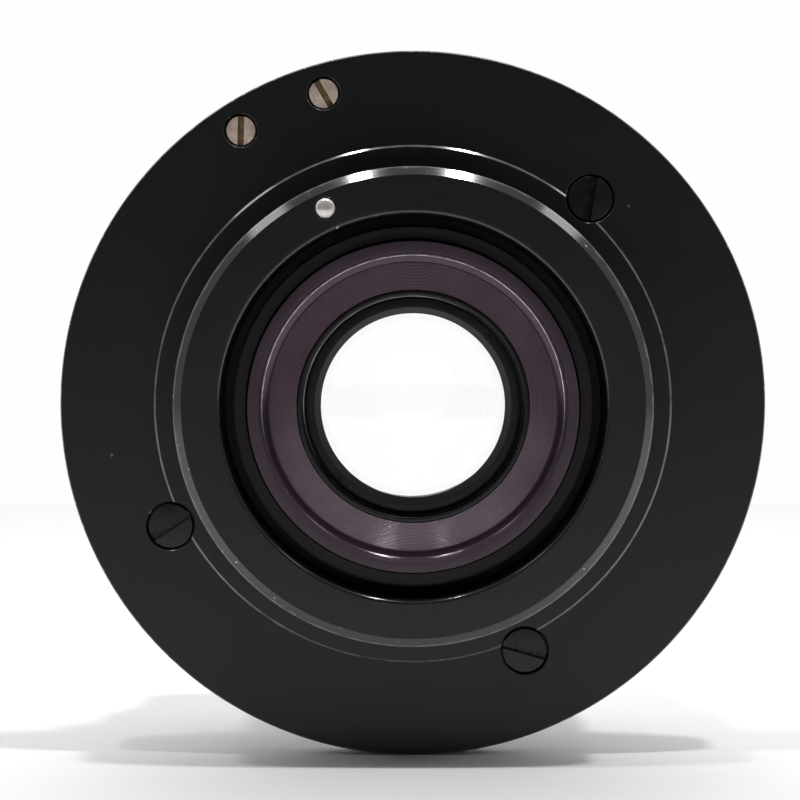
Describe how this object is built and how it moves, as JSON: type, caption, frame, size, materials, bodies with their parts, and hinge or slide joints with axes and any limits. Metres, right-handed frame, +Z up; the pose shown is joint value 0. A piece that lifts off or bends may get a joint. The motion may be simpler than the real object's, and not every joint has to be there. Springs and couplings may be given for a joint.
{
  "type": "enlarger lens",
  "caption": "Enlarging lens with a click-stopped aperture ring and a working blade iris, screwed into a round lens board with a bevelled seating spigot.",
  "frame": {"origin": "on the optical axis, in the plane of the lens board's rear face", "axes": "+Y along the optical axis towards the front of the lens (the side with the aperture ring), -Y towards the rear spigot and the lamp, +Z up, +X to the right as seen from the rear"},
  "size_m": [0.078, 0.0409, 0.078],
  "materials": {
    "satin_black_anodise": "satin black anodised, worn at the edges",
    "aged_black_anodise": "satin black anodised, aged slightly red-brown",
    "plum_black_anodise": "black anodised, aged towards plum",
    "aged_purple_anodise": "black anodised, faded to purple, with fine turned grooves",
    "cell_black": "matt black lacquer",
    "screw_black": "oil-blackened steel, turned",
    "old_brass": "worn turned brass, tarnished pinkish brown",
    "bright_steel": "polished steel",
    "blade_steel": "blued spring steel leaf",
    "spring_steel": "bright spring wire",
    "optical_glass": "polished, single-layer coated optical glass"
  },
  "bodies": {
    "root": {"lens_board": "satin_black_anodise", "mount_collar": "aged_black_anodise", "clamp_screw_1": "screw_black", "clamp_screw_2": "screw_black", "clamp_screw_3": "screw_black", "index_screw_1": "old_brass", "index_screw_2": "old_brass", "index_block": "satin_black_anodise", "locating_pin": "bright_steel", "lens_barrel": "plum_black_anodise", "rear_baffle": "aged_purple_anodise", "rear_cell": "cell_black", "rear_retaining_ring": "cell_black", "rear_crown_element": "optical_glass", "rear_flint_element": "optical_glass", "iris_housing": "cell_black", "iris_retainer": "cell_black", "click_spring": "spring_steel", "front_barrel": "satin_black_anodise", "front_cell": "cell_black", "middle_element": "optical_glass", "element_spacer": "cell_black", "front_element": "optical_glass", "front_retaining_ring": "cell_black", "front_trim_ring": "satin_black_anodise"},
    "aperture_ring": {"scale_ring": "satin_black_anodise", "aperture_ring_grip": "satin_black_anodise", "iris_driver_screw": "screw_black", "grip_screw_1": "screw_black", "grip_screw_2": "screw_black", "grip_screw_3": "screw_black", "iris_actuator_ring": "cell_black"},
    "blade_1": {"iris_blade_1": "blade_steel"},
    "blade_2": {"iris_blade_2": "blade_steel"},
    "blade_3": {"iris_blade_3": "blade_steel"},
    "blade_4": {"iris_blade_4": "blade_steel"},
    "blade_5": {"iris_blade_5": "blade_steel"},
    "blade_6": {"iris_blade_6": "blade_steel"},
    "click_ball": {"click_ball": "bright_steel"}
  },
  "joints": [
    {"name": "aperture_ring_turn", "type": "hinge", "parent": "root", "child": "aperture_ring", "pos_m": [0, 0.013, 0], "axis": [0, -1, 0], "range_deg": [0, 50]},
    {"name": "blade_1_pivot", "type": "hinge", "parent": "root", "child": "blade_1", "pos_m": [0.0166, 0.0088, 0], "axis": [0, -1, 0], "range_deg": [0, 27.6]},
    {"name": "blade_2_pivot", "type": "hinge", "parent": "root", "child": "blade_2", "pos_m": [0.0083, 0.0088, 0.01438], "axis": [0, -1, 0], "range_deg": [0, 27.6]},
    {"name": "blade_3_pivot", "type": "hinge", "parent": "root", "child": "blade_3", "pos_m": [-0.0083, 0.0088, 0.01438], "axis": [0, -1, 0], "range_deg": [0, 27.6]},
    {"name": "blade_4_pivot", "type": "hinge", "parent": "root", "child": "blade_4", "pos_m": [-0.0166, 0.0088, 0], "axis": [0, -1, 0], "range_deg": [0, 27.6]},
    {"name": "blade_5_pivot", "type": "hinge", "parent": "root", "child": "blade_5", "pos_m": [-0.0083, 0.0088, -0.01438], "axis": [0, -1, 0], "range_deg": [0, 27.6]},
    {"name": "blade_6_pivot", "type": "hinge", "parent": "root", "child": "blade_6", "pos_m": [0.0083, 0.0088, -0.01438], "axis": [0, -1, 0], "range_deg": [0, 27.6]},
    {"name": "click_ball_slide", "type": "slide", "parent": "root", "child": "click_ball", "axis": [-1, 0, 0], "range_m": [0, 0.00025], "stiffness_N_per_m": 200}
  ],
  "couplings": [
    {"joint": "blade_1_pivot", "follows": "aperture_ring_turn", "ratio": 0.55},
    {"joint": "blade_2_pivot", "follows": "aperture_ring_turn", "ratio": 0.55},
    {"joint": "blade_3_pivot", "follows": "aperture_ring_turn", "ratio": 0.55},
    {"joint": "blade_4_pivot", "follows": "aperture_ring_turn", "ratio": 0.55},
    {"joint": "blade_5_pivot", "follows": "aperture_ring_turn", "ratio": 0.55},
    {"joint": "blade_6_pivot", "follows": "aperture_ring_turn", "ratio": 0.55}
  ]
}
